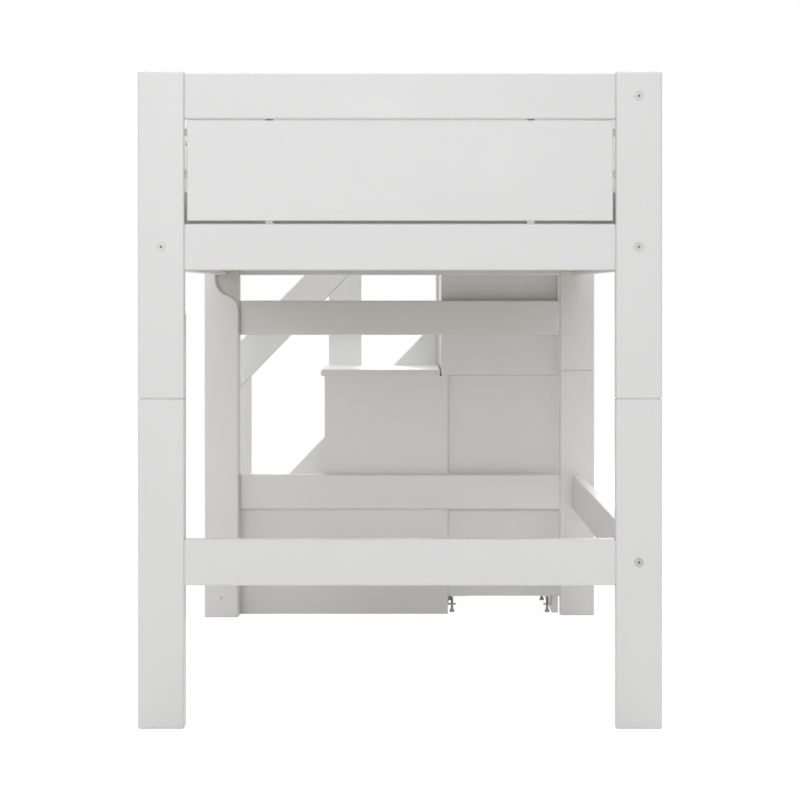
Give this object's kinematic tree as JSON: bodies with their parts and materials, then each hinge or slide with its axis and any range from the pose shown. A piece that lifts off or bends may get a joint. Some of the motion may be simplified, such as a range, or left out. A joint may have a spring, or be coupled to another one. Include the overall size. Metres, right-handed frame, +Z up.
{
  "type": "mid sleeper bed",
  "caption": "Mid-height child's bed frame with guard panels, an open play space below, and a storage staircase with a banister and landing across the far end.",
  "frame": {"origin": "on the floor, at the centre of the whole footprint of bed and staircase", "axes": "+X to the right across the bed seen from the near end, +Y along the bed towards the staircase, +Z up"},
  "size_m": [1.02, 2.565, 1.28],
  "materials": {
    "lacquered_pine": "white satin lacquer on solid pine",
    "lacquered_board": "white satin lacquer on fibreboard",
    "step_lacquer": "hard white lacquer on the treads",
    "birch_plywood": "clear lacquered birch plywood",
    "bare_pine": "planed, unfinished pine",
    "beech_peg": "planed beech",
    "mattress_cover": "quilted knitted cotton cover",
    "dark_zinc": "dark zinc plating",
    "bolt_steel": "zinc-plated steel"
  },
  "bodies": {
    "bed": {"near_left_post_lower": "lacquered_pine", "near_left_post_upper": "lacquered_pine", "near_right_post_lower": "lacquered_pine", "near_right_post_upper": "lacquered_pine", "far_left_post_lower": "lacquered_pine", "far_left_post_upper": "lacquered_pine", "far_right_post_lower": "lacquered_pine", "far_right_post_upper": "lacquered_pine", "near_top_rail": "lacquered_pine", "near_main_rail": "lacquered_pine", "near_lower_rail": "lacquered_pine", "far_top_rail": "lacquered_pine", "entry_post": "lacquered_pine", "far_main_rail": "lacquered_pine", "far_cross_rail": "lacquered_pine", "far_lower_rail": "lacquered_pine", "right_top_rail": "lacquered_pine", "right_main_rail": "lacquered_pine", "right_lower_rail": "lacquered_pine", "left_main_rail": "lacquered_pine", "near_support_post": "lacquered_pine", "far_support_post": "lacquered_pine", "left_guard_rail": "lacquered_pine", "stair_newels": "lacquered_pine", "landing_newels": "lacquered_pine", "handrail": "lacquered_pine", "stair_guard_boards": "lacquered_pine", "landing_rails": "lacquered_pine", "near_guard_panel": "lacquered_board", "far_guard_panel": "lacquered_board", "right_guard_panel": "lacquered_board", "left_guard_panel": "lacquered_board", "stair_near_side": "lacquered_board", "stair_far_side": "lacquered_board", "niche_left_side": "lacquered_board", "niche_right_side": "lacquered_board", "niche_back": "lacquered_board", "landing_box_back": "lacquered_board", "landing_box_floor": "lacquered_board", "landing_box_panel": "lacquered_board", "lower_tread": "step_lacquer", "upper_tread": "step_lacquer", "landing_board": "step_lacquer", "drawer_runners": "birch_plywood", "slat_ledgers": "bare_pine", "bed_slats": "bare_pine", "wood_pegs": "beech_peg", "mattress": "mattress_cover", "foot_brackets": "dark_zinc", "frame_bolts": "bolt_steel"},
    "lower_drawer": {"lower_drawer_front": "lacquered_board", "lower_drawer_box": "birch_plywood"},
    "middle_drawer": {"middle_drawer_front": "lacquered_board", "middle_drawer_box": "birch_plywood"},
    "upper_drawer": {"upper_drawer_front": "lacquered_board", "upper_drawer_box": "birch_plywood"},
    "front_left_foot": {"front_left_levelling_foot": "dark_zinc"},
    "front_right_foot": {"front_right_levelling_foot": "dark_zinc"},
    "rear_left_foot": {"rear_left_levelling_foot": "dark_zinc"},
    "rear_right_foot": {"rear_right_levelling_foot": "dark_zinc"}
  },
  "joints": [
    {"name": "lower_drawer_slide", "type": "slide", "parent": "bed", "child": "lower_drawer", "axis": [-1, 0, 0], "range_m": [0, 0.44]},
    {"name": "middle_drawer_slide", "type": "slide", "parent": "bed", "child": "middle_drawer", "axis": [-1, 0, 0], "range_m": [0, 0.21]},
    {"name": "upper_drawer_slide", "type": "slide", "parent": "bed", "child": "upper_drawer", "axis": [-1, 0, 0], "range_m": [0, 0.2]},
    {"name": "front_left_foot_screw", "type": "slide", "parent": "bed", "child": "front_left_foot", "axis": [0, 0, 1], "range_m": [-0.01, 0.004]},
    {"name": "front_right_foot_screw", "type": "slide", "parent": "bed", "child": "front_right_foot", "axis": [0, 0, 1], "range_m": [-0.01, 0.004]},
    {"name": "rear_left_foot_screw", "type": "slide", "parent": "bed", "child": "rear_left_foot", "axis": [0, 0, 1], "range_m": [-0.01, 0.004]},
    {"name": "rear_right_foot_screw", "type": "slide", "parent": "bed", "child": "rear_right_foot", "axis": [0, 0, 1], "range_m": [-0.01, 0.004]}
  ]
}
